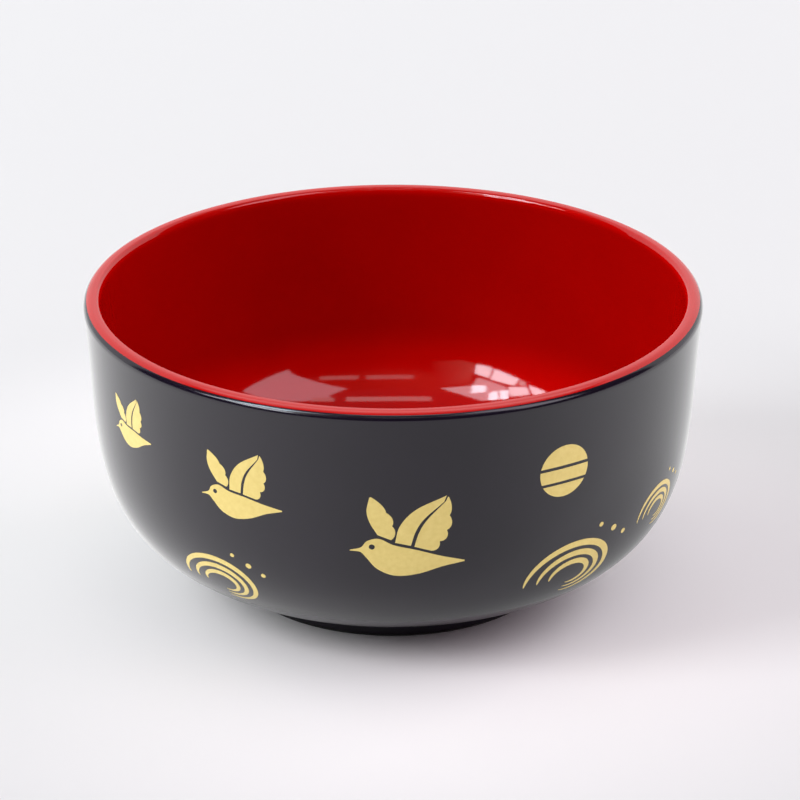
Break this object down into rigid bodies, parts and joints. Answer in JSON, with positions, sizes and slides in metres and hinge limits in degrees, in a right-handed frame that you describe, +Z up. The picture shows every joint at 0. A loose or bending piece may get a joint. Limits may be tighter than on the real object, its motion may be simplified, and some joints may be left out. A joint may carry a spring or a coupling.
{
  "type": "lacquer-style bowl",
  "caption": "Round lacquer-style bowl with a steep wall, a full belly and a low foot ring, black outside and red inside and over the rim, for serving rice or soup.",
  "frame": {"origin": "centre of the foot ring, on the plane it stands on", "axes": "+Z up along the bowl's axis, +X to the right and -Y towards the viewer in the picture"},
  "size_m": [0.13, 0.13, 0.0644],
  "materials": {
    "moulded_resin": "moulded, bare at the foot",
    "black_coat": "satin gloss black coat",
    "red_coat": "high gloss vermilion coat"
  },
  "bodies": {
    "root": {"moulded_core": "moulded_resin", "black_outer_coat": "black_coat", "red_inner_coat": "red_coat"}
  },
  "joints": []
}
